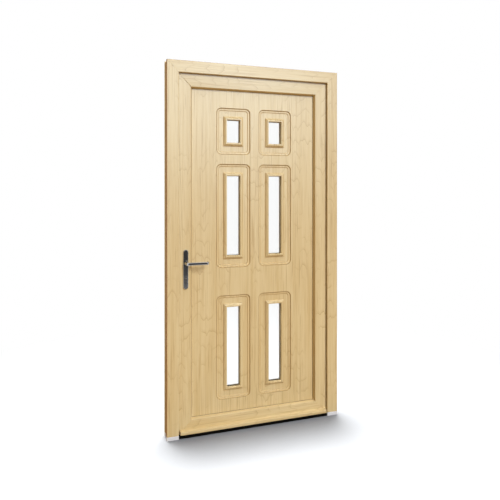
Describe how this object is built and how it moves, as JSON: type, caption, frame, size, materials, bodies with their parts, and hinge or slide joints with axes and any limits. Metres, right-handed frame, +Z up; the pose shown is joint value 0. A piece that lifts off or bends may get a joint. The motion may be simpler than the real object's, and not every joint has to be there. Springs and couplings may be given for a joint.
{
  "type": "pvc front door",
  "caption": "Inward opening PVC front door in maple foil: mitred frame and leaf, moulded panel with narrow glazed lights, lever handle on a long plate, drip rail and low threshold.",
  "frame": {"origin": "on the floor, under the middle of the threshold, at half the depth of the frame", "axes": "+X to the right seen from outside, +Y inwards, +Z up"},
  "size_m": [1.05, 0.195, 2.1],
  "materials": {
    "maple_foil": "satin maple wood grain foil on rigid PVC",
    "black_rubber": "matt black seal",
    "black_threshold": "matt black threshold profile",
    "aluminium_foot": "satin silver aluminium",
    "satin_glass": "satin sealed unit, white against the light",
    "polished_handle": "polished chromed metal",
    "lock_steel": "brushed plated steel",
    "hinge_paint": "silver powder coat"
  },
  "bodies": {
    "frame": {"frame_left_jamb": "maple_foil", "frame_right_jamb": "maple_foil", "frame_head": "maple_foil", "left_foot": "aluminium_foot", "right_foot": "aluminium_foot", "threshold": "black_threshold", "frame_gasket": "black_rubber", "lock_keeps": "lock_steel", "hinge_frame_part_1": "hinge_paint", "hinge_frame_part_2": "hinge_paint", "hinge_frame_part_3": "hinge_paint"},
    "leaf": {"leaf_lock_stile": "maple_foil", "leaf_hinge_stile": "maple_foil", "leaf_top_rail": "maple_foil", "leaf_bottom_rail": "maple_foil", "door_panel": "maple_foil", "panel_gasket": "black_rubber", "bead_left": "maple_foil", "bead_right": "maple_foil", "bead_top": "maple_foil", "bead_bottom": "maple_foil", "glass_top_left": "satin_glass", "glass_top_right": "satin_glass", "glass_middle_left": "satin_glass", "glass_middle_right": "satin_glass", "glass_bottom_left": "satin_glass", "glass_bottom_right": "satin_glass", "cassette_top_left": "maple_foil", "cassette_top_right": "maple_foil", "cassette_middle_left": "maple_foil", "cassette_middle_right": "maple_foil", "cassette_bottom_left": "maple_foil", "cassette_bottom_right": "maple_foil", "inside_cassettes": "maple_foil", "drip_rail": "maple_foil", "outside_backplate": "polished_handle", "inside_backplate": "polished_handle", "lock_cylinder": "lock_steel", "lock_faceplate": "lock_steel", "hinge_leaf_part_1": "hinge_paint", "hinge_leaf_part_2": "hinge_paint", "hinge_leaf_part_3": "hinge_paint"},
    "handle": {"outside_lever": "polished_handle", "inside_lever": "polished_handle", "spindle": "lock_steel"}
  },
  "joints": [
    {"name": "door_swing", "type": "hinge", "parent": "frame", "child": "leaf", "pos_m": [0.498, 0.063, 1.05], "axis": [0, 0, -1], "range_deg": [0, 105]},
    {"name": "lever_turn", "type": "hinge", "parent": "leaf", "child": "handle", "pos_m": [-0.417, 0.018, 0.972], "axis": [0, 1, 0], "range_deg": [0, 40], "stiffness_Nm_per_rad": 2, "springref_deg": -34.38}
  ]
}
